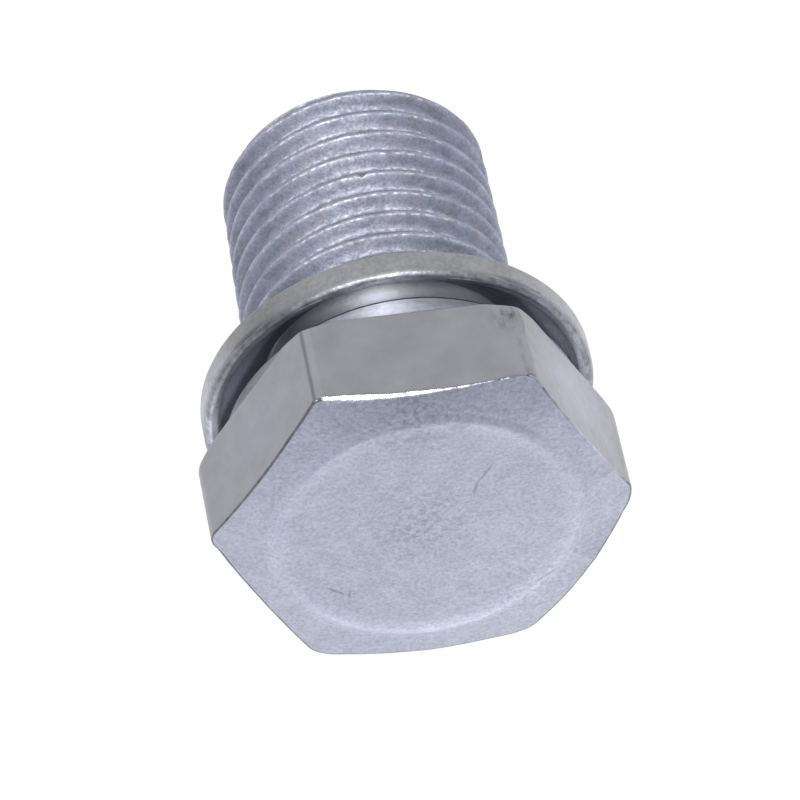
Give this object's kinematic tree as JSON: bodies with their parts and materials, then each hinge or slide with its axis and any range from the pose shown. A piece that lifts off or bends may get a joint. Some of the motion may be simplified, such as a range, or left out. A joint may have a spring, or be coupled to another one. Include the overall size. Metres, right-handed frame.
{
  "type": "oil drain plug",
  "caption": "Hex-head steel drain plug with a round collar, short threaded shank and a loose dished sealing washer held on its neck.",
  "frame": {"origin": "middle of the flat end face of the threaded tip, which the plug stands on", "axes": "+Z along the plug's axis from the tip to the head; -Y faces one flat of the hexagon; +X runs through two of its corners"},
  "size_m": [0.0218, 0.0202, 0.0254],
  "materials": {
    "plug_steel": "zinc-plated forged steel, matt silver with a slight blue cast",
    "washer_metal": "dull pressed light metal"
  },
  "bodies": {
    "plug": {"drain_plug": "plug_steel"},
    "washer": {"sealing_washer": "washer_metal"}
  },
  "joints": [
    {"name": "washer_slide", "type": "slide", "parent": "plug", "child": "washer", "axis": [0, 0, 1], "range_m": [0, 0.00135]}
  ]
}
